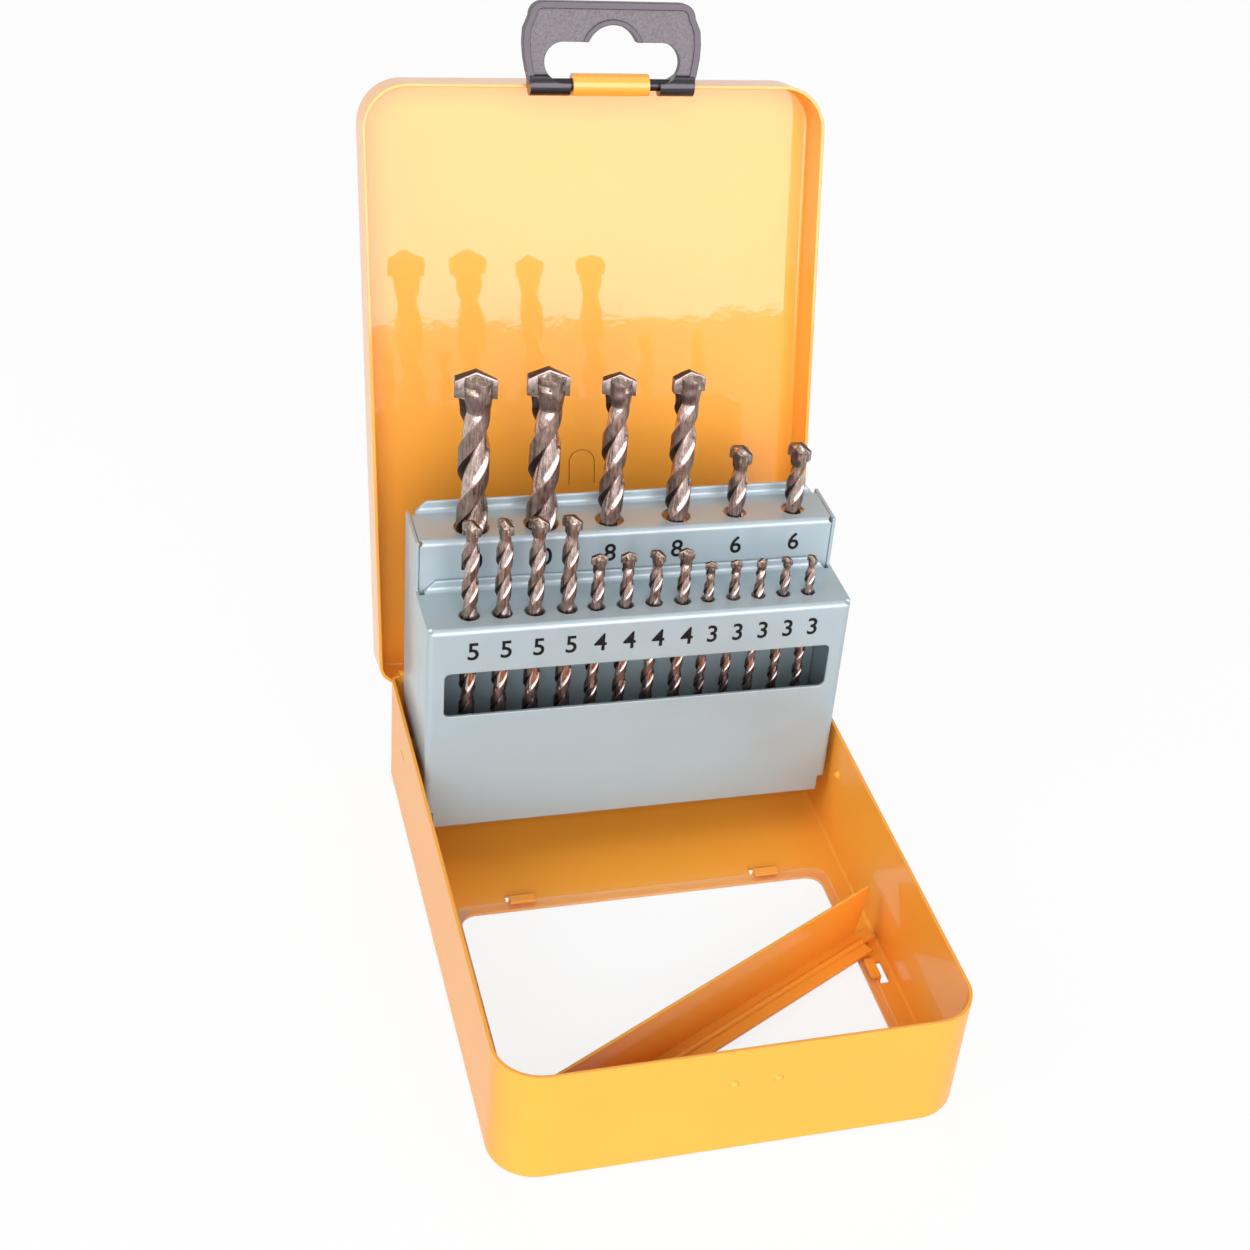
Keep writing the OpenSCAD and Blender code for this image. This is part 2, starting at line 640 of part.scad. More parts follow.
module shank_shelf() {
    w = inner_w - 2 * plate_gap;
    front = holder_t + plate_gap;
    color(steel_grey) on_holder() translate([-w / 2, 0, 0]) {
        translate([0, front, front_shelf - holder_t]) cube([w, riser_y - front + holder_t, holder_t]);
        translate([0, riser_y, front_shelf - holder_t]) cube([w, holder_t, back_shelf - front_shelf + holder_t]);
        translate([0, riser_y, back_shelf - holder_t]) cube([w, holder_d - riser_y - rear_inset, holder_t]);
        translate([notch_w, front, front_shelf - shelf_skirt]) cube([w - 2 * notch_w, holder_t, shelf_skirt]);
    }
}

// Two-flute section of a drill body: each side is a land, a steep wall, and a flute that rises to the other land
function flute_section(r, n) = [for (i = [0:n - 1]) let (a = 360 * i / n, h = a % 180,
        wall = (h - land_end) / (wall_end - land_end), rise = (h - wall_end) / (180 - wall_end))
    r * (h < land_end ? 1 : h < wall_end ? 1 - (1 - flute_core) * wall : flute_core + (1 - flute_core) * pow(rise, 1.5))
        * [cos(a), sin(a)]];

// One bit, standing on z = 0
module bit_solid(d) {
    bd = body_d(d);
    plate_foot = length_of(d) - plate_rise * d;
    neck = plate_foot + (head_top - head_rise) * d;
    flute_low = d > 5 ? 0.42 * length_of(d) : flute_end - front_shelf;
    flute_l = neck - flute_low;
    turns = flute_l / (flute_pitch * bd);
    sides = d > 5 ? 16 : 12;
    cylinder(d = bd, h = flute_low);
    translate([0, 0, flute_low - eps]) linear_extrude(flute_l + 2 * eps, twist = -360 * turns, slices = round(10 * turns), segments = sides)
        polygon(flute_section(bd / 2 - land_relief, sides));
    difference() {
        translate([0, 0, neck]) cylinder(d = bd * 0.96, h = head_rise * d);
        translate([0, 0, plate_foot + d]) cube([2 * d, plate_t * d, 2 * d], center = true);
    }
}

module tip_solid(d) {
    eaves = (plate_rise - roof_rise) * d;
    translate([0, 0, length_of(d) - plate_rise * d]) rotate([90, 0, 0]) linear_extrude(plate_t * d, center = true)
        polygon([[-d / 2, 0], [d / 2, 0], [d / 2, eaves], [0, plate_rise * d], [-d / 2, eaves]]);
}

module at_bit(i) {
    on_holder() translate([bit_x(i), bit_y(i), shelf_of(i) + stand_gap]) rotate([0, 0, turned[i]]) children();
}

module bit(i) {
    color(drill_bronze) at_bit(i) bit_solid(sizes[i]);
}

module tip(i) {
    color(carbide) at_bit(i) tip_solid(sizes[i]);
}

tray_shell();
window_pane();
stop_bar();
hinge_pin();
lid_shell();
latch_pin();
hanging_loop();
holder_front_plate();
holder_rear_plate();
shank_guide();
shank_shelf();
bit(0);  // bit_10mm_a
bit(1);  // bit_10mm_b
bit(2);  // bit_8mm_a
bit(3);  // bit_8mm_b
bit(4);  // bit_6mm_a
bit(5);  // bit_6mm_b
bit(6);  // bit_5mm_a
bit(7);  // bit_5mm_b
bit(8);  // bit_5mm_c
bit(9);  // bit_5mm_d
bit(10);  // bit_4mm_a
bit(11);  // bit_4mm_b
bit(12);  // bit_4mm_c
bit(13);  // bit_4mm_d
bit(14);  // bit_3mm_a
bit(15);  // bit_3mm_b
bit(16);  // bit_3mm_c
bit(17);  // bit_3mm_d
bit(18);  // bit_3mm_e
tip(0);  // tip_10mm_a
tip(1);  // tip_10mm_b
tip(2);  // tip_8mm_a
tip(3);  // tip_8mm_b
tip(4);  // tip_6mm_a
tip(5);  // tip_6mm_b
tip(6);  // tip_5mm_a
tip(7);  // tip_5mm_b
tip(8);  // tip_5mm_c
tip(9);  // tip_5mm_d
tip(10);  // tip_4mm_a
tip(11);  // tip_4mm_b
tip(12);  // tip_4mm_c
tip(13);  // tip_4mm_d
tip(14);  // tip_3mm_a
tip(15);  // tip_3mm_b
tip(16);  // tip_3mm_c
tip(17);  // tip_3mm_d
tip(18);  // tip_3mm_e
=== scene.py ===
import json
import math

import bmesh
import bpy
from mathutils import Matrix, Vector, noise


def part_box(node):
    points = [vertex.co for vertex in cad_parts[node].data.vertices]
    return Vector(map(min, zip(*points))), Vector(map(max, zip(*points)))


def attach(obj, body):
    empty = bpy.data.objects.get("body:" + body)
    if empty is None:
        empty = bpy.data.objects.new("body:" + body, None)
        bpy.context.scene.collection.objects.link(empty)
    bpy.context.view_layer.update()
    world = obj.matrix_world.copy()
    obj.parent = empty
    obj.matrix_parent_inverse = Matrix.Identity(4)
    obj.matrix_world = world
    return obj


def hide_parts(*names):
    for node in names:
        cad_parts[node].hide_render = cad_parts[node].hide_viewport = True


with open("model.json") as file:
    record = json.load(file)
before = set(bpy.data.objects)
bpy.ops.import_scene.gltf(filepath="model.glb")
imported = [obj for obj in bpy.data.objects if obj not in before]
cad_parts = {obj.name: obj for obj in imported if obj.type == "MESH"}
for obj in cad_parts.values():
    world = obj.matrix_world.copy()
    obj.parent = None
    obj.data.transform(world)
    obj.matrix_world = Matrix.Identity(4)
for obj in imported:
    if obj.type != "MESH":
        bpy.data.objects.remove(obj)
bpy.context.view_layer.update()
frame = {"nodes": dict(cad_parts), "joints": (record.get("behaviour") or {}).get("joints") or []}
nodes = frame["nodes"]
mm = 0.001
print("frame loaded:", len(nodes), "nodes")


# The camera, at the photograph's angle; the shift puts the case left of the middle
cameraValues = {
    "place": (-125.8, -368.8, 358.3),  # mm
    "aim": (35.8, 20.0, 44.4),
    "roll": 8.71,  # degrees
    "lens": 60.62,
    "sensor": 36,
    "shiftX": -0.132,
    "shiftY": 0.084,
    "nearest": 0.01,  # m, nothing closer is drawn
}


def turnTo(place, aim, roll=0.0):
    forward = (Vector(aim) - Vector(place)).normalized()
    level = forward.cross(Vector((0, 0, 1))).normalized()
    upright = level.cross(forward)
    tilt = math.radians(roll)
    right = level * math.cos(tilt) + upright * math.sin(tilt)
    up = upright * math.cos(tilt) - level * math.sin(tilt)
    turn = Matrix((right, up, -forward)).transposed().to_4x4()
    return Matrix.Translation(place) @ turn


def makeCamera(v):
    data = bpy.data.cameras.new("camera")
    data.sensor_width = v["sensor"]
    data.lens = v["lens"]
    data.shift_x = v["shiftX"]
    data.shift_y = v["shiftY"]
    data.clip_start = v["nearest"]
    camera = bpy.data.objects.new("camera", data)
    bpy.context.scene.collection.objects.link(camera)
    camera.matrix_world = turnTo(Vector(v["place"]) * mm, Vector(v["aim"]) * mm, v["roll"])
    bpy.context.scene.camera = camera


makeCamera(cameraValues)
print("camera set")


# Places in the frame
def cornersOf(node):
    return [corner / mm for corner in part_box(node)]


def pivotOf(joint):
    return next(Vector(j["pos_m"]) for j in frame["joints"] if j["name"] == joint)


# Meshes and objects
def meshFrom(bm, name):
    mesh = bpy.data.meshes.new(name)
    bm.to_mesh(mesh)
    bm.free()
    return mesh


def addObject(name, mesh, *materials):
    for material in materials:
        mesh.materials.append(material)
    thing = bpy.data.objects.new(name, mesh)
    bpy.context.scene.collection.objects.link(thing)
    return thing


def addPiece(name, mesh, body, *materials):
    piece = addObject(name, mesh, *materials)
    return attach(piece, body)


def newVerts(grown):
    return [g for g in grown if isinstance(g, bmesh.types.BMVert)]


# Material nodes
def newMaterial(name):
    material = bpy.data.materials.new(name)
    material.use_nodes = True
    tree = material.node_tree
    return material, tree, tree.nodes["Principled BSDF"]


def setInputs(tree, node, inputs):
    for key, value in inputs.items():
        if isinstance(value, bpy.types.NodeSocket):
            tree.links.new(value, node.inputs[key])
        else:
            node.inputs[key].default_value = value


def addNode(tree, kind, inputs=None, **settings):
    node = tree.nodes.new(kind)
    for key, value in settings.items():
        setattr(node, key, value)
    setInputs(tree, node, inputs or {})
    return node


def objectPoint(tree, stretch=(1, 1, 1), turn=(0, 0, 0), move=(0, 0, 0)):
    point = addNode(tree, "ShaderNodeTexCoord").outputs["Object"]
    turn = tuple(math.radians(t) for t in turn)
    return addNode(tree, "ShaderNodeMapping", {
        "Vector": point, "Rotation": turn, "Scale": stretch, "Location": move}).outputs["Vector"]


def addNoise(tree, point, size, detail=2.0, roughness=0.5):
    return addNode(tree, "ShaderNodeTexNoise", {
        "Vector": point, "Scale": 1 / (size * mm), "Detail": detail, "Roughness": roughness}).outputs["Fac"]


def doMath(tree, operation, first, second):
    return addNode(tree, "ShaderNodeMath", {0: first, 1: second}, operation=operation).outputs[0]


def spread(tree, value, low, high, fromLow=0.3, fromHigh=0.7):
    return addNode(tree, "ShaderNodeMapRange", {
        "Value": value, "From Min": fromLow, "From Max": fromHigh,
        "To Min": low, "To Max": high}).outputs["Result"]


def mixNode(tree, factor, first, second):
    sides = {"Factor": factor, "A": first, "B": second}
    return addNode(tree, "ShaderNodeMix", sides, data_type="RGBA").outputs["Result"]


def mixColours(tree, factor, first, second):
    return mixNode(tree, factor, (*first, 1), (*second, 1))


def roundedNormal(tree, radius):
    return addNode(tree, "ShaderNodeBevel", {"Radius": radius * mm}, samples=6).outputs["Normal"]


def addBump(tree, height, depth, normal=None):
    inputs = {"Height": height, "Strength": 1.0, "Distance": depth * mm}
    if normal:
        inputs["Normal"] = normal
    return addNode(tree, "ShaderNodeBump", inputs).outputs["Normal"]


def paint(node, material):
    node.data.materials.clear()
    node.data.materials.append(material)


# Finishes of the pressed sheets; sizes and depths in mm
lidOpen = 76.5  # degrees, as in the frame
caseFinish = {
    "colour": (0.93, 0.40, 0.05),
    "deepColour": (0.90, 0.365, 0.04),
    "cloudSize": 30,
    "roughness": 0.4,
    "gloss": 0.2,
    "coat": {"casePaint": 0.28, "lidPaint": 0.75},
    "coatRoughness": 0.03,
    "coatIor": 1.55,
    "panelBow": 0.061,  # slope of the lid's slightly bowed panel
    "edgeRadius": 0.35,
    "peelSize": 1.6,
    "peelDepth": 0.006,
    "waveSize": 14.0,
    "waveDepth": 0.05,
}
holderFinish = {
    "colour": (0.31, 0.39, 0.42),
    "paleColour": (0.335, 0.415, 0.445),
    "cloudSize": 22,
    "metallic": 0.15,
    "roughness": (0.36, 0.46),
    "smudgeSize": 6,
    "coat": 0.55,
    "coatRoughness": 0.12,
    "edgeRadius": 0.45,
    "waveSize": 12.0,
    "waveDepth": 0.04,
}


def caseFinishMaterial(name, bow, v):
    material, tree, shader = newMaterial(name)
    point = objectPoint(tree)
    cloud = addNoise(tree, point, v["cloudSize"], 3)
    normal = roundedNormal(tree, v["edgeRadius"])
    if bow:  # a height that grows along the open lid tilts its whole panel
        lidPoint = objectPoint(tree, turn=(-lidOpen, 0, 0))
        along = addNode(tree, "ShaderNodeSeparateXYZ", {"Vector": lidPoint}).outputs["Y"]
        normal = addBump(tree, doMath(tree, "MULTIPLY", along, bow), 1 / mm, normal)
    normal = addBump(tree, addNoise(tree, point, v["waveSize"], 2), v["waveDepth"], normal)
    normal = addBump(tree, addNoise(tree, point, v["peelSize"], 2), v["peelDepth"], normal)
    setInputs(tree, shader, {
        "Base Color": mixColours(tree, cloud, v["colour"], v["deepColour"]),
        "Roughness": v["roughness"],
        "Specular IOR Level": v["gloss"],
        "Coat Weight": v["coat"][name],
        "Coat Roughness": v["coatRoughness"],
        "Coat IOR": v["coatIor"],
        "Normal": normal,
        "Coat Normal": normal,
    })
    return material


def holderFinishMaterial(v):
    material, tree, shader = newMaterial("holderPlating")
    point = objectPoint(tree)
    cloud = addNoise(tree, point, v["cloudSize"], 4)
    smudges = addNoise(tree, point, v["smudgeSize"], 3)
    waves = addNoise(tree, point, v["waveSize"], 2)
    normal = addBump(tree, waves, v["waveDepth"], roundedNormal(tree, v["edgeRadius"]))
    setInputs(tree, shader, {
        "Base Color": mixColours(tree, cloud, v["colour"], v["paleColour"]),
        "Metallic": v["metallic"],
        "Roughness": spread(tree, smudges, *v["roughness"]),
        "Coat Weight": v["coat"],
        "Coat Roughness": v["coatRoughness"],
        "Normal": normal,
        "Coat Normal": normal,
    })
    return material


casePaint = caseFinishMaterial("casePaint", 0, caseFinish)
lidPaint = caseFinishMaterial("lidPaint", caseFinish["panelBow"], caseFinish)
holderPlating = holderFinishMaterial(holderFinish)
for name in ("tray_shell", "stop_bar"):
    paint(nodes[name], casePaint)
paint(nodes["lid_shell"], lidPaint)
for name in ("holder_front_plate", "holder_rear_plate", "shank_guide", "shank_shelf"):
    paint(nodes[name], holderPlating)
print("sheets finished")


# Pins, loop and pane; sizes and depths in mm
pinFinish = {
    "colour": (0.45, 0.44, 0.42),
    "grime": (0.2, 0.17, 0.13),
    "roughness": (0.25, 0.45),
    "streakSize": 0.5,
}
latchPinFinish = {
    "colour": (0.05, 0.05, 0.052),
    "grime": (0.02, 0.02, 0.02),
    "roughness": (0.25, 0.4),
    "streakSize": 0.5,
}
loopFinish = {
    # the web's paler grey than the rim is partly a painted sheen of its grained surface; its grain flecks are
    # its own
    "web": (0.04, 0.036, 0.038),
    "webPale": (0.12, 0.11, 0.114),
    "rim": (0.012, 0.011, 0.013),
    "webRoughness": 0.5,
    "rimRoughness": 0.2,
    "webFace": 1.25,  # from the loop's middle plane
    "barrelReach": 2.9,
    "grainSize": 0.55,
    "grainDepth": 0.02,
    "edgeRadius": 0.35,
}
paneFinish = {
    "colour": (0.96, 0.975, 0.98),
    "paleColour": (1, 1, 1),
    "hazeSize": 25,
    "roughness": 0.06,
    "clear": 0.03,  # how much of the pane shows, seen straight on
    # at grazing angles more of the pale pane shows, a painted sheen
    "grazingSheen": 0.35,
    "edgeBlend": 0.2,
}


def steelPinMaterial(name, v):
    material, tree, shader = newMaterial(name)
    streaks = addNoise(tree, objectPoint(tree, (0.1, 1, 1)), v["streakSize"], 3)
    setInputs(tree, shader, {
        "Base Color": mixColours(tree, streaks, v["colour"], v["grime"]),
        "Roughness": spread(tree, streaks, *v["roughness"]),
        "Metallic": 1,
    })
    return material


def loopMaterial(v):
    material, tree, shader = newMaterial("loopPlastic")
    grain = addNoise(tree, objectPoint(tree), v["grainSize"], 4, 0.65)
    # in the open lid's own frame the barrels lie round the pivot and the border stands proud of the web
    pivot = Matrix.Rotation(-math.radians(lidOpen), 3, "X") @ pivotOf("loop_hinge")
    local = objectPoint(tree, turn=(-lidOpen, 0, 0), move=-pivot)
    axes = addNode(tree, "ShaderNodeSeparateXYZ", {"Vector": local}).outputs
    belowRim = doMath(tree, "LESS_THAN", axes["Z"], v["webFace"] * mm)
    pastBarrels = doMath(tree, "GREATER_THAN", axes["Y"], v["barrelReach"] * mm)
    onWeb = doMath(tree, "MULTIPLY", belowRim, pastBarrels)
    webSheenColour = mixColours(tree, spread(tree, grain, 0, 1), v["web"], v["webPale"])
    setInputs(tree, shader, {
        "Base Color": mixNode(tree, onWeb, (*v["rim"], 1), webSheenColour),
        "Roughness": spread(tree, onWeb, v["rimRoughness"], v["webRoughness"], 0, 1),
        "Normal": addBump(tree, grain, v["grainDepth"], roundedNormal(tree, v["edgeRadius"])),
    })
    return material


def paneMaterial(v):
    material, tree, shader = newMaterial("clearPane")
    haze = addNoise(tree, objectPoint(tree), v["hazeSize"], 2)
    # the pane's pale colour shows more towards grazing angles, a painted sheen; its faint haze is its own
    edge = addNode(tree, "ShaderNodeLayerWeight", {"Blend": v["edgeBlend"]}).outputs["Facing"]
    setInputs(tree, shader, {
        "Base Color": mixColours(tree, haze, v["colour"], v["paleColour"]),
        "Roughness": v["roughness"],
        "Alpha": spread(tree, edge, v["clear"], v["grazingSheen"], 0, 1),
    })
    return material


paint(nodes["hinge_pin"], steelPinMaterial("pinSteel", pinFinish))
paint(nodes["latch_pin"], steelPinMaterial("blackPinSteel", latchPinFinish))
paint(nodes["hanging_loop"], loopMaterial(loopFinish))
paint(nodes["window_pane"], paneMaterial(paneFinish))
print("pins, loop and pane finished")


# Painted shadow: a dark strip that fills the slit round the lid's tongue, standing in for the shade in the
# cut
tongueValues = {  # mm, in the open lid's own frame
    "middle": -1.4,
    "root": 45.8,
    "length": 9.4,
    "width": 7.0,
    "archSteps": 16,
    "slitShadowWidth": 0.7,
    "slitShadowLow": -14.0,
    "slitShadowHigh": -13.8,
    "colour": (0.42, 0.16, 0.015),
    "paleColour": (0.5, 0.2, 0.02),
    "shadeSize": 3,
    "roughness": 0.5,
}


def slitShadowMaterial(v):
    material, tree, shader = newMaterial("slitPaintedShadow")
    shade = addNoise(tree, objectPoint(tree), v["shadeSize"], 2)
    setInputs(tree, shader, {
        "Base Color": mixColours(tree, shade, v["colour"], v["paleColour"]),
        "Roughness": v["roughness"],
    })
    return material


def tongueLine(reach, v):
    # up one side, round the arch and down the other side
    arch = v["root"] + v["length"] - v["width"] / 2
    angles = [math.pi * i / v["archSteps"] for i in range(v["archSteps"] + 1)]
    bend = [(reach * math.cos(a), arch + reach * math.sin(a)) for a in angles]
    return [(reach, v["root"])] + bend + [(-reach, v["root"])]


def makeTongueSlitShadow(v):
    outer = tongueLine(v["width"] / 2 + v["slitShadowWidth"] / 2, v)
    inner = tongueLine(v["width"] / 2 - v["slitShadowWidth"] / 2, v)
    bm = bmesh.new()
    points = [bm.verts.new((v["middle"] + x, y, v["slitShadowLow"])) for x, y in outer + inner[::-1]]
    face = bm.faces.new(points)
    top = newVerts(bmesh.ops.extrude_face_region(bm, geom=[face])["geom"])
    bmesh.ops.translate(bm, verts=top, vec=(0, 0, v["slitShadowHigh"] - v["slitShadowLow"]))
    bmesh.ops.recalc_face_normals(bm, faces=bm.faces)
    mesh = meshFrom(bm, "tongueSlitShadow")
    opened = Matrix.Rotation(math.radians(lidOpen), 4, "X")
    mesh.transform(Matrix.Translation(pivotOf("lid_hinge")) @ opened @ Matrix.Scale(mm, 4))
    # this dark strip is painted shadow where the slit is cut in the lid
    seam = addObject("tongueSlitShadow", mesh, slitShadowMaterial(v))
    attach(seam, "lid")


makeTongueSlitShadow(tongueValues)
print("tongue seam made")


# The set: masonry bits with a brazed carbide plate; lengths in mm unless they are in bit sizes
bitValues = {
    "bodyShare": 0.7,  # body diameter = share x size + extra
    "bodyExtra": 0.5,
    "pitch": 4.3,  # one turn of the flutes, in body diameters
    "core": 0.6,  # a flute's deepest point, as a share of the radius
    "bulge": 0.8,  # its rounded bottom
    "landEnd": 64.0,  # angles round half a section
    "wallEnd": 80.0,
    "bulgeEnd": 150.0,
    "landSteps": 8,
    "wallSteps": 4,
    "bulgeSteps": 8,
    "riseSteps": 6,
    "ringGap": 0.5,  # between the rings of the fluted length
    "headRings": 10,
    "capRings": 5,  # these close the top
    "capShrink": 0.86,
    "footRise": 0.3,  # chamfer at the shank's foot
    "footShare": 0.94,
    "frontFluteEnd": 21.0,  # above the shank's foot
    "backFluteEnd": 0.36,  # share of the length
    "runOut": 1.6,  # body diameters
    "paintedLightFrom": 0.4,  # share of the run-out above which the flutes get painted highlight and painted shade
    "headShare": 0.8,  # body under the plate
    "headReach": 0.05,
    "waistShare": 0.71,
    "waistReach": 0.5,
    "straight": 0.34,  # untwisted length below the plate
    "fluteFill": 0.3,  # the flutes fill up under the plate
    "plateRise": 0.68,  # the plate, in bit sizes
    "plateThick": 0.22,
    "plateBevel": 0.02,
    "roofRise": 0.2,
    "roofDrop": 0.05,  # body below the plate's roof, in bit sizes
    "roofReflectionNormal": 0.85,  # faces that point further up than this have the darker carbide, a painted dark reflection
    "eaveGap": 0.02,
    "trailDrop": 0.06,  # the trailing half of each edge lies lower
    "grind": 0.5,  # slope of the ground top beside the plate
    "lumpReach": 0.1,  # uneven braze from here below the plate, in bit sizes
    "lumpDepth": 0.03,
    "lumpCount": 5,  # to a bit size
    "brazeBeside": 0.04,
    "brazeBelow": 0.03,
    "raggedFrom": 0.22,
    "raggedReach": 0.5,
    "raggedLeast": 0.05,
    "sharpAngle": 34,
}
# lit and shaded copies of one steel: the flutes' brighter copy is a painted highlight, the walls' and the
# head's darker copies are painted shade
bitSteels = {  # colour, darker colour, lowest and highest roughness
    "landSteel": ((0.30, 0.225, 0.185), (0.17, 0.125, 0.10), 0.24, 0.42),
    "fluteSteelPaintedHighlight": ((0.62, 0.50, 0.445), (0.36, 0.27, 0.23), 0.16, 0.26),
    "wallSteelPaintedShade": ((0.075, 0.052, 0.043), (0.045, 0.03, 0.026), 0.3, 0.45),
    "headSteelPaintedShade": ((0.22, 0.165, 0.14), (0.13, 0.095, 0.08), 0.3, 0.45),
}
metalSlots = {name: slot for slot, name in enumerate([*bitSteels, "brazeMetal"])}
holderLean = 1.0  # degrees, as in the frame
backRowFrom = 6  # mm, the smallest size in the back row
turnedHeads = {  # degrees from facing the front edge
    "10mm": (-8, -5), "8mm": (-12, 5), "6mm": (-50, -47), "5mm": (-50, -62, -34, -40),
    "4mm": (-4, 3, -46, -8), "3mm": (-12, -4, 26, -50, -64),
}
bitRows = [
    (float(group[:-2]), f"{group}_{letter}", turn)
    for group, turns in turnedHeads.items() for letter, turn in zip("abcde", turns)]


def smoothStep(low, high, value):
    t = min(1, max(0, (value - low) / (high - low)))
    return t * t * (3 - 2 * t)


def ringSteps(v):
    # a ring's points stand closer where the section turns sharply
    ends = (0, v["landEnd"], v["wallEnd"], v["bulgeEnd"], 180)
    counts = (v["landSteps"], v["wallSteps"], v["bulgeSteps"], v["riseSteps"])
    half = []
    for low, high, count in zip(ends, ends[1:], counts):
        half += [low + (high - low) * step / count for step in range(count)]
    return half + [180 + angle for angle in half]


def fluteReach(angle, v):
    half = angle % 180
    if half < v["landEnd"]:
        return 1
    if half < v["wallEnd"]:
        return 1 - (1 - v["core"]) * smoothStep(v["landEnd"], v["wallEnd"], half)
    if half < v["bulgeEnd"]:
        share = (half - v["wallEnd"]) / (v["bulgeEnd"] - v["wallEnd"])
        return v["core"] + (v["bulge"] - v["core"]) * share ** 0.7
    share = (half - v["bulgeEnd"]) / (180 - v["bulgeEnd"])
    return v["bulge"] + (1 - v["bulge"]) * share ** 1.5


def extrudeRing(bm, edges, before):
    # one more ring above the last; every new point keeps the angle of the point it grew from
    grown = bmesh.ops.extrude_edge_only(bm, edges=edges)["geom"]
    points = newVerts(grown)
    rim = [g for g in grown if isinstance(g, bmesh.types.BMEdge) and all(p in points for p in g.verts)]
    angles = {}
    for point in points:
        partner = next(e.other_vert(point) for e in point.link_edges if e.other_vert(point) in before)
        angles[point] = before[partner]
    return rim, angles


def ringHeights(fluteEnd, straightFrom, eaves, v):
    rings = max(2, round((straightFrom - fluteEnd) / v["ringGap"]))
    heights = [v["footRise"], fluteEnd]
    heights += [fluteEnd + (straightFrom - fluteEnd) * (i + 1) / rings for i in range(rings)]
    heads = v["headRings"]
    heights += [straightFrom + (eaves - straightFrom) * (i + 1) / heads for i in range(heads)]
    return heights + [-1 - i for i in range(v["capRings"] + 1)]  # the closing rings, counted below zero


def makeBitBody(name, size, length, fluteEnd, v):
    body = v["bodyShare"] * size + v["bodyExtra"]
    plateFoot = length - v["plateRise"] * size
    straightFrom = plateFoot - v["straight"] * size
    eaves = length - (v["roofRise"] + v["roofDrop"] + v["eaveGap"]) * size
    steps = ringSteps(v)
    bm = bmesh.new()
    ring = bmesh.ops.create_circle(bm, segments=len(steps), radius=body / 2)["verts"]
    ordered = sorted(ring, key=lambda p: math.atan2(p.co.y, p.co.x) % (2 * math.pi))
    edges = list(bmesh.ops.contextual_create(bm, geom=ring)["faces"][0].edges)
    rows = [(0.0, dict(zip(ordered, steps)))]
    for height in ringHeights(fluteEnd, straightFrom, eaves, v):
        edges, angles = extrudeRing(bm, edges, rows[-1][1])
        rows.append((height, angles))
    bmesh.ops.contextual_create(bm, geom=edges)
    twist = 360 / (v["pitch"] * body)  # degrees for each mm
    angleOf = {}
    for height, angles in rows:
        angleOf.update(angles)
        cap = max(0, -1 - height) / v["capRings"] if height < 0 else 0
        z = eaves if height < 0 else height
        fluted = smoothStep(fluteEnd, fluteEnd + v["runOut"] * body, z)
        waist = smoothStep(straightFrom - v["waistReach"] * size, straightFrom, z)
        head = smoothStep(straightFrom, plateFoot + v["headReach"] * size, z)
        wide = body + (v["waistShare"] * size - body) * waist
        wide += (v["headShare"] - v["waistShare"]) * size * head
        for vert, angle in angles.items():
            reach = 1 - (1 - fluteReach(angle, v)) * fluted * (1 - v["fluteFill"] * head)
            radius = wide / 2 * reach * (1 - v["capShrink"] * cap)
            turned = math.radians(angle - v["landEnd"] + twist * (min(z, straightFrom) - straightFrom))
            if z > plateFoot - v["lumpReach"] * size:
                spot = Vector((math.cos(turned) * radius, math.sin(turned) * radius, z))
                lump = noise.noise(spot * (v["lumpCount"] / size) + Vector((size, length, 0)))
                radius += lump * v["lumpDepth"] * size * (1 - cap)
            x, y = radius * math.cos(turned), radius * math.sin(turned)
            if height < 0:
                z = length - (2 * v["roofRise"] * abs(x) + v["roofDrop"] * size)
                z -= v["grind"] * max(0, abs(y) - v["plateThick"] * size / 2)
            if height == 0.0:
                x, y = x * v["footShare"], y * v["footShare"]
            vert.co = Vector((x, y, z)) * mm
    bmesh.ops.recalc_face_normals(bm, faces=bm.faces)
    paintedLightStart = fluteEnd + v["paintedLightFrom"] * v["runOut"] * body
    for face in bm.faces:
        face.smooth = True
        halves = [angleOf[p] % 180 for p in face.verts]
        middle = face.calc_center_median() / mm
        seam = (v["plateThick"] / 2 + v["brazeBeside"]) * size
        if middle.z > plateFoot + v["raggedFrom"] * size:
            ragged = noise.noise(Vector((middle.x * 4 / size, length, middle.z * 3 / size)))
            seam += v["raggedReach"] * size * max(0, ragged - v["raggedLeast"])
        metal = "landSteel"
        if middle.z > plateFoot - v["brazeBelow"] * size and abs(middle.y) < seam:
            metal = "brazeMetal"
        # above this height the walls under the lands' edges and the head's flutes get a painted-shade copy of
        # the steel, the other flute faces a painted-highlight copy
        elif paintedLightStart < middle.z < eaves and max(halves) - min(halves) < 90:  # the angles don't wrap round
            if v["landEnd"] - 1 < min(halves) and max(halves) < v["wallEnd"] + 8:
                metal = "wallSteelPaintedShade"
            elif v["wallEnd"] < min(halves) and max(halves) < 177:
                metal = "headSteelPaintedShade" if middle.z > straightFrom else "fluteSteelPaintedHighlight"
        face.material_index = metalSlots[metal]
    mesh = meshFrom(bm, name)
    mesh.set_sharp_from_angle(angle=math.radians(v["sharpAngle"]))
    return mesh


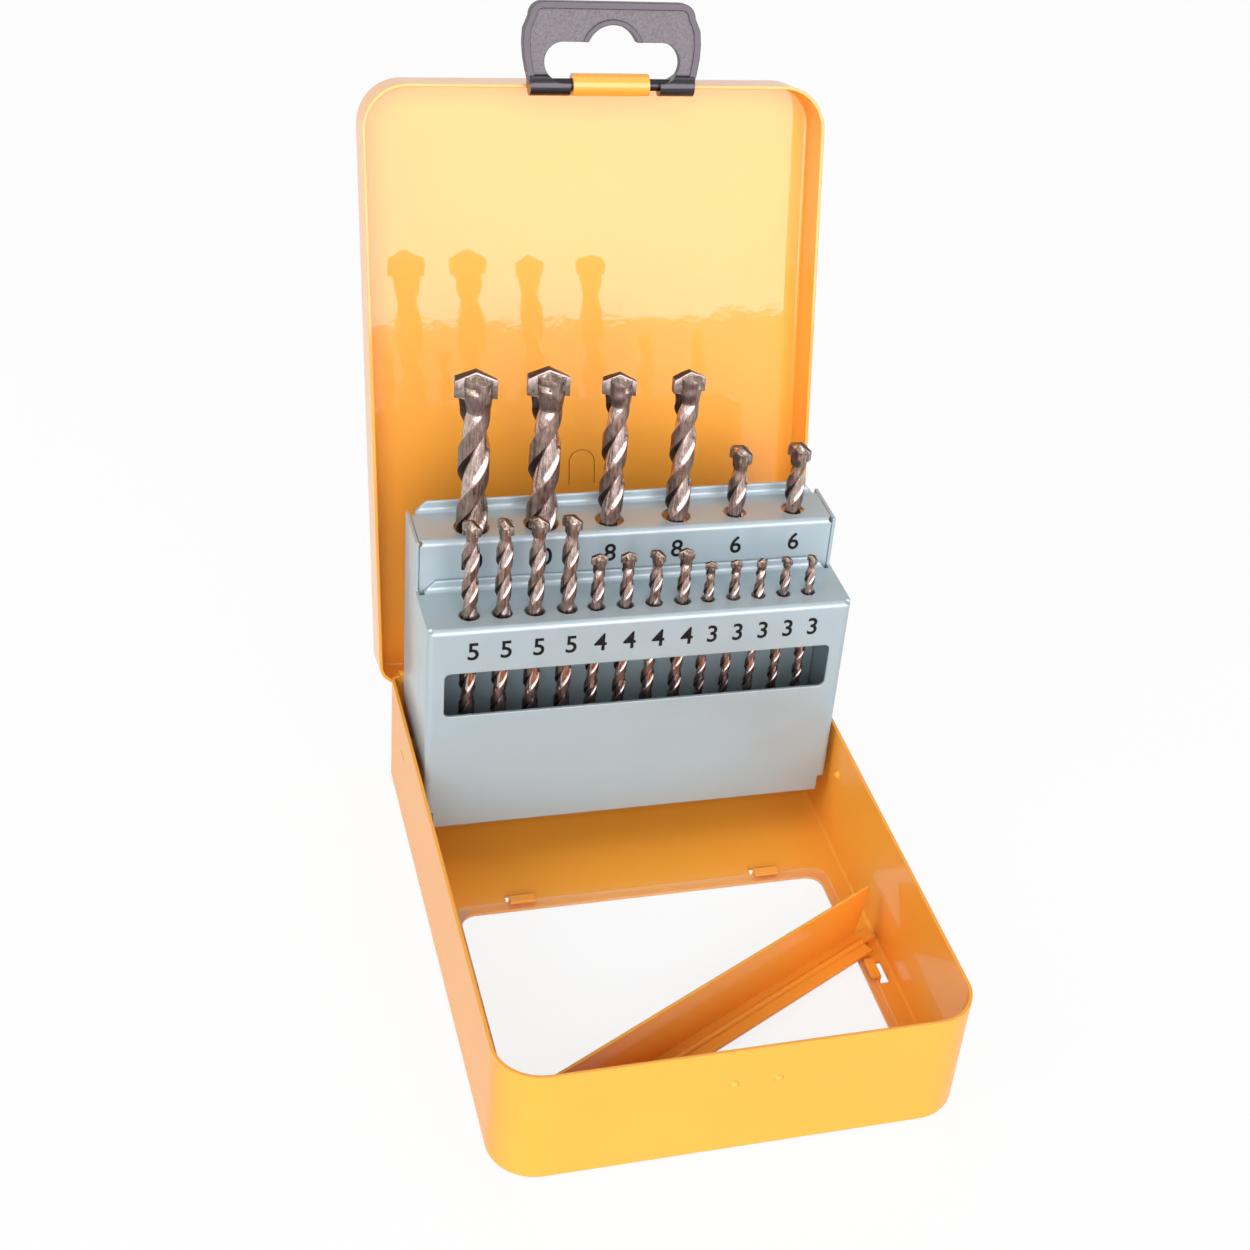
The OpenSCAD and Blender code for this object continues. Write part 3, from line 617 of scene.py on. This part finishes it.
def makePlate(name, size, length, v):
    bm = bmesh.new()
    bmesh.ops.create_cube(bm, size=1)
    whole = bm.verts[:] + bm.edges[:] + bm.faces[:]
    bmesh.ops.bisect_plane(bm, geom=whole, plane_co=(0, 0, 0), plane_no=(1, 0, 0))
    for vert in bm.verts:
        z = length - v["plateRise"] * size
        if vert.co.z > 0 and abs(vert.co.x) < 0.1:
            z = length
        elif vert.co.z > 0:
            z = length - v["roofRise"] * size
            if vert.co.x * vert.co.y > 0:
                z -= v["trailDrop"] * size
        vert.co = Vector((vert.co.x * size, vert.co.y * v["plateThick"] * size, z)) * mm
    bmesh.ops.bevel(
        bm, geom=bm.edges[:], offset=v["plateBevel"] * size * mm, segments=2, profile=0.5,
        affect="EDGES", material=-1)
    bmesh.ops.recalc_face_normals(bm, faces=bm.faces)
    for face in bm.faces:
        face.smooth = True
        # upward faces take the painted-reflection carbide
        face.material_index = 1 if face.normal.z > v["roofReflectionNormal"] else 0
    mesh = meshFrom(bm, name)
    mesh.set_sharp_from_angle(angle=math.radians(v["sharpAngle"]))
    return mesh


steelGrain = {  # mm
    "patchSize": 1.8,
    "streakSize": 0.35,
    "streakDepth": 0.0015,
    "edgeRadius": 0.12,
}
brazeFinish = {  # place in the noise, and tint
    "dark": (0.36, (0.09, 0.065, 0.055)),
    "gold": (0.48, (0.42, 0.31, 0.22)),
    "silver": (0.62, (0.74, 0.66, 0.56)),
    "roughness": (0.5, 0.25),
    "lumpSize": 0.75,  # mm
    "lumpDepth": 0.12,
}
carbideGrain = {  # mm
    "patchSize": 1.2,
    "patchDepth": 0.02,
    "edgeRadius": 0.1,
}
carbideFinish = {"colour": (0.20, 0.16, 0.14), "edge": (0.36, 0.31, 0.275), "roughness": (0.25, 0.42)}
# the plate's upward faces: a darker copy of the carbide, a painted dark reflection
carbideRoofPaintedReflection = {"colour": (0.05, 0.04, 0.036), "edge": (0.1, 0.08, 0.07), "roughness": (0.3, 0.45)}


def bitSteelMaterial(name, colour, dark, smooth, rough, v):
    material, tree, shader = newMaterial(name)
    patches = addNoise(tree, objectPoint(tree), v["patchSize"], 4, 0.6)
    streaks = addNoise(tree, objectPoint(tree, (1, 1, 0.1)), v["streakSize"], 2)
    blend = spread(tree, doMath(tree, "ADD", patches, streaks), 0, 1, 0.8, 1.2)
    setInputs(tree, shader, {
        "Base Color": mixColours(tree, blend, dark, colour),
        "Roughness": spread(tree, streaks, smooth, rough),
        "Metallic": 1,
        "Normal": addBump(tree, streaks, v["streakDepth"], roundedNormal(tree, v["edgeRadius"])),
    })
    return material


def brazeMaterial(v):
    material, tree, shader = newMaterial("brazeMetal")
    lumps = addNoise(tree, objectPoint(tree), v["lumpSize"], 4, 0.6)
    ramp = addNode(tree, "ShaderNodeValToRGB", {"Fac": lumps})
    elements = ramp.color_ramp.elements
    for element, (place, tint) in zip(elements, (v["dark"], v["silver"])):
        element.position = place
        element.color = (*tint, 1)
    place, tint = v["gold"]
    elements.new(place).color = (*tint, 1)
    setInputs(tree, shader, {
        "Base Color": ramp.outputs["Color"],
        "Roughness": spread(tree, lumps, *v["roughness"]),
        "Metallic": 1,
        "Normal": addBump(tree, lumps, v["lumpDepth"]),
    })
    return material


def carbideMaterial(name, finish, v):
    material, tree, shader = newMaterial(name)
    patches = addNoise(tree, objectPoint(tree), v["patchSize"], 3)
    setInputs(tree, shader, {
        "Base Color": mixColours(tree, spread(tree, patches, 0, 1), finish["colour"], finish["edge"]),
        "Roughness": spread(tree, patches, *finish["roughness"]),
        "Metallic": 1,
        "Normal": addBump(tree, patches, v["patchDepth"], roundedNormal(tree, v["edgeRadius"])),
    })
    return material


bitMetals = [bitSteelMaterial(name, *values, steelGrain) for name, values in bitSteels.items()]
bitMetals.append(brazeMaterial(brazeFinish))
carbides = [
    carbideMaterial("carbidePlate", carbideFinish, carbideGrain),
    carbideMaterial("carbideRoofPaintedReflection", carbideRoofPaintedReflection, carbideGrain),
]


def addBit(size, label, turn, v):
    low, high = cornersOf(f"bit_{label}")
    tipHigh = cornersOf(f"tip_{label}")[1]
    lean = math.radians(holderLean)
    radius = (v["bodyShare"] * size + v["bodyExtra"]) / 2
    foot = Vector(((low.x + high.x) / 2, low.y + radius * math.cos(lean), low.z + radius * math.sin(lean)))
    length = (tipHigh.z - foot.z) / math.cos(lean)
    fluteEnd = v["frontFluteEnd"] if size < backRowFrom else v["backFluteEnd"] * length
    leaning = Matrix.Translation(foot * mm) @ Matrix.Rotation(-lean, 4, "X")
    place = leaning @ Matrix.Rotation(math.radians(turn), 4, "Z")
    bodyMesh = makeBitBody(f"bitBody_{label}", size, length, fluteEnd, v)
    bodyMesh.transform(place)
    plateMesh = makePlate(f"bitPlate_{label}", size, length, v)
    plateMesh.transform(place)
    bitBody = addPiece(f"bitBody_{label}", bodyMesh, f"drill_{label}", *bitMetals)
    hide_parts(f"bit_{label}")
    bitPlate = addPiece(f"bitPlate_{label}", plateMesh, f"drill_{label}", *carbides)
    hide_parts(f"tip_{label}")


for size, label, turn in bitRows:
    addBit(size, label, turn, bitValues)
print("bits made")


# Size numbers, printed on the face and the riser
numberValues = {
    "height": 4.9,  # mm
    "thick": 0.04,
    "sunk": 0.3,  # share of the thickness
    "bold": 0.015,  # added to each stroke, in letter heights
    "wide": 0.94,
    "faceRise": 52.5,  # middle of the digits above the face's lower edge
    "riserRise": 66.2,
    "riserDepth": 18.3,  # back from the face
    "pivotDepth": 20.3,  # the holder's pivot, from the same edge
    "pivotRise": 10.6,
    "backShift": -0.8,
    "merge": 0.001,  # points closer than this are one
    "colour": (0.004, 0.004, 0.004),
    "paleColour": (0.01, 0.01, 0.01),
    "speckleSize": 0.4,
    "roughness": 0.5,
    "gloss": 0.12,
}


def inkMaterial(v):
    material, tree, shader = newMaterial("numberInk")
    speckle = addNoise(tree, objectPoint(tree), v["speckleSize"], 2)
    setInputs(tree, shader, {
        "Base Color": mixColours(tree, speckle, v["colour"], v["paleColour"]),
        "Roughness": v["roughness"],
        "Specular IOR Level": v["gloss"],
    })
    return material


def holderPlace(v):
    # the holder's own frame: x across, y back from the face, z up from the face's lower edge
    lean = Matrix.Rotation(-math.radians(holderLean), 4, "X")
    edge = Vector((0, -v["pivotDepth"], -v["pivotRise"])) * mm
    return Matrix.Translation(pivotOf("holder_pivot")) @ lean @ Matrix.Translation(edge)


def letterMesh(text, name, v):
    curve = bpy.data.curves.new(name, "FONT")
    curve.body = text
    curve.align_x = "CENTER"
    curve.size = 1
    curve.extrude = 0.01
    curve.offset = v["bold"]
    source = addObject(name + "_text", curve)
    bpy.context.view_layer.update()
    mesh = bpy.data.meshes.new_from_object(source.evaluated_get(bpy.context.evaluated_depsgraph_get()))
    bpy.data.objects.remove(source)
    low = [min(p.co[axis] for p in mesh.vertices) for axis in range(3)]
    high = [max(p.co[axis] for p in mesh.vertices) for axis in range(3)]
    centre = Vector([(a + b) / 2 for a, b in zip(low, high)])
    grow = v["height"] * mm / (high[1] - low[1])
    mesh.transform(Matrix.Translation(-centre))
    mesh.transform(Matrix.Diagonal((grow * v["wide"], grow, v["thick"] * mm / (high[2] - low[2]), 1)))
    mesh.transform(Matrix.Rotation(math.pi / 2, 4, "X"))
    return mesh


def addNumber(text, name, place, ink, v):
    mesh = letterMesh(text, name, v)
    mesh.transform(place)
    bm = bmesh.new()
    bm.from_mesh(mesh)
    bmesh.ops.remove_doubles(bm, verts=bm.verts, dist=v["merge"] * mm)
    bmesh.ops.recalc_face_normals(bm, faces=bm.faces)
    bm.to_mesh(mesh)
    bm.free()
    mesh.materials.clear()
    addPiece(name, mesh, "holder", ink)


def addNumbers(v):
    ink = inkMaterial(v)
    onHolder = holderPlace(v)
    for size, label, _ in bitRows:
        low, high = cornersOf(f"bit_{label}")
        x = (low.x + high.x) / 2
        y, z = 0.0, v["faceRise"]
        if size >= backRowFrom:
            x += v["backShift"]
            y, z = v["riserDepth"], v["riserRise"]
        spot = Matrix.Translation(Vector((x, y - v["thick"] * v["sunk"], z)) * mm)
        addNumber(f"{size:.0f}", f"number_{label}", onHolder @ spot, ink, v)


addNumbers(numberValues)
print("numbers made")


# Floor, world and lamps
stageValues = {
    "floorSize": 8.0,  # m
    "floorColour": (0.86, 0.86, 0.86),
    "floorPale": (0.88, 0.88, 0.88),
    "shadeSize": 400,  # mm
    "floorGlow": 0.94,  # share of plain white where the camera sees the floor
    "worldFill": 0.25,
}
lampValues = {  # place and aim in m, size in m, power in W
    "frontBox": {
        "place": (-0.25, -2.3, 1.15), "aim": (0, 0, 0.55), "size": (2.6, 2.1), "power": 84, "glossy": False},
    "leftBox": {"place": (-2.0, -0.4, 1.3), "aim": (0, 0, 0.05), "size": (1.2, 1.6), "power": 20},
    "topBox": {"place": (0.3, 0.4, 2.4), "aim": (0, 0, 0), "size": (1.6, 1.6), "power": 10},
    "sheenBox": {  # only seen in gloss, from just over the floor in front of the case
        "place": (0.35, -1.11, 0.62), "aim": (0.35, -0.34, 1.26), "size": (2.8, 1.55), "power": 76,
        "colour": (1, 0.84, 1), "diffuse": False},
}


def seenRays(tree):
    rays = addNode(tree, "ShaderNodeLightPath").outputs
    first = doMath(tree, "MAXIMUM", rays["Is Camera Ray"], rays["Is Glossy Ray"])
    return doMath(tree, "MAXIMUM", first, rays["Is Transmission Ray"])


def floorMaterial(v):
    material, tree, shader = newMaterial("floorWhite")
    shade = addNoise(tree, objectPoint(tree), v["shadeSize"], 2)
    setInputs(tree, shader, {
        "Base Color": mixColours(tree, shade, v["floorColour"], v["floorPale"]),
        "Roughness": 1,
        "Specular IOR Level": 0,
    })
    glow = addNode(tree, "ShaderNodeEmission", {"Strength": 1.0})
    amount = doMath(tree, "MULTIPLY", seenRays(tree), v["floorGlow"])
    mixed = addNode(tree, "ShaderNodeMixShader", {0: amount, 1: shader.outputs[0], 2: glow.outputs[0]})
    setInputs(tree, tree.nodes["Material Output"], {"Surface": mixed.outputs[0]})
    return material


def makeFloor(v):
    bm = bmesh.new()
    bmesh.ops.create_grid(bm, x_segments=2, y_segments=2, size=v["floorSize"] / 2)
    floor = addObject("floor", meshFrom(bm, "floor"), floorMaterial(v))


def makeWorld(v):
    world = bpy.data.worlds.new("world")
    bpy.context.scene.world = world
    world.use_nodes = True
    tree = world.node_tree
    tree.nodes.clear()
    white = addNode(tree, "ShaderNodeBackground", {"Color": (1, 1, 1, 1), "Strength": 1.0})
    fill = addNode(tree, "ShaderNodeBackground", {"Color": (1, 1, 1, 1), "Strength": v["worldFill"]})
    mixed = addNode(tree, "ShaderNodeMixShader", {0: seenRays(tree), 1: fill.outputs[0], 2: white.outputs[0]})
    addNode(tree, "ShaderNodeOutputWorld", {"Surface": mixed.outputs[0]})


def makeLamps(lamps):
    for name, v in lamps.items():
        data = bpy.data.lights.new(name, "AREA")
        data.shape = "RECTANGLE"
        data.size, data.size_y = v["size"]
        data.energy = v["power"]
        data.color = v.get("colour", (1, 1, 1))
        lamp = addObject(name, data)
        lamp.matrix_world = turnTo(Vector(v["place"]), Vector(v["aim"]))
        lamp.visible_camera = False
        lamp.visible_diffuse = v.get("diffuse", True)
        lamp.visible_glossy = v.get("glossy", True)


makeFloor(stageValues)
makeWorld(stageValues)
makeLamps(lampValues)
bpy.context.scene.view_settings.view_transform = "Standard"
print("stage lit")
